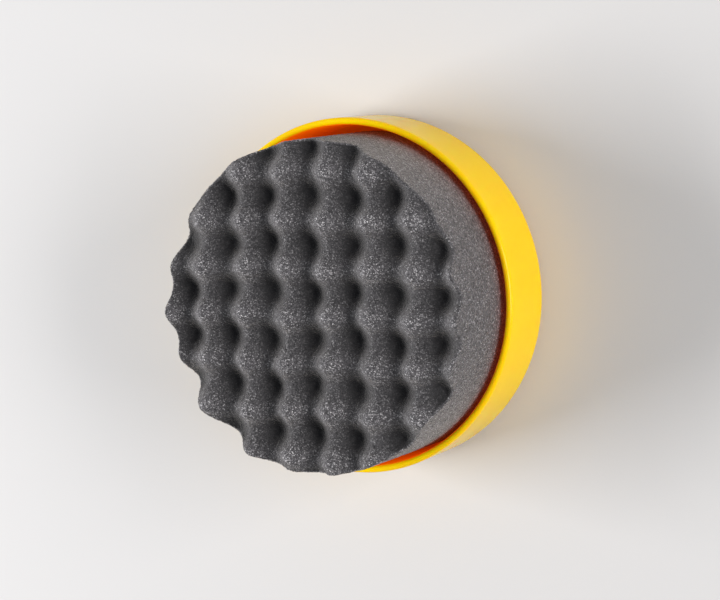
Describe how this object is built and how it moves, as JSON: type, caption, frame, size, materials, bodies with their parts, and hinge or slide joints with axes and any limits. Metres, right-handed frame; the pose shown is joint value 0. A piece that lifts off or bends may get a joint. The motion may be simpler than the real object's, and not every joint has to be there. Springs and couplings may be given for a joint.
{
  "type": "polishing pad",
  "caption": "Hand polishing pad: a round moulded grip cup holding a thick foam disc with a waved working face, fastened by hook and loop.",
  "frame": {"origin": "centre of the grip cup's flat back, which is the face it rests on", "axes": "+Z runs from the back through the cup's open mouth to the foam's working face; X and Y follow the rows of crests, and the foam sits 0.8 mm off the cup's axis towards -X"},
  "size_m": [0.12, 0.12, 0.0582],
  "materials": {
    "cup_plastic": "gloss",
    "adhesive_film": "satin",
    "hook_nylon": "matte",
    "loop_knit": "matte",
    "melt_web": "matte",
    "open_cell_foam": "matte"
  },
  "bodies": {
    "cup": {"grip_cup": "cup_plastic", "hook_adhesive": "adhesive_film", "hook_tape": "hook_nylon"},
    "pad": {"loop_cloth": "loop_knit", "pad_adhesive": "melt_web", "foam_pad": "open_cell_foam"}
  },
  "joints": [
    {"name": "pad_release", "type": "slide", "parent": "cup", "child": "pad", "axis": [0, 0, 1], "range_m": [0, 0.04]}
  ]
}
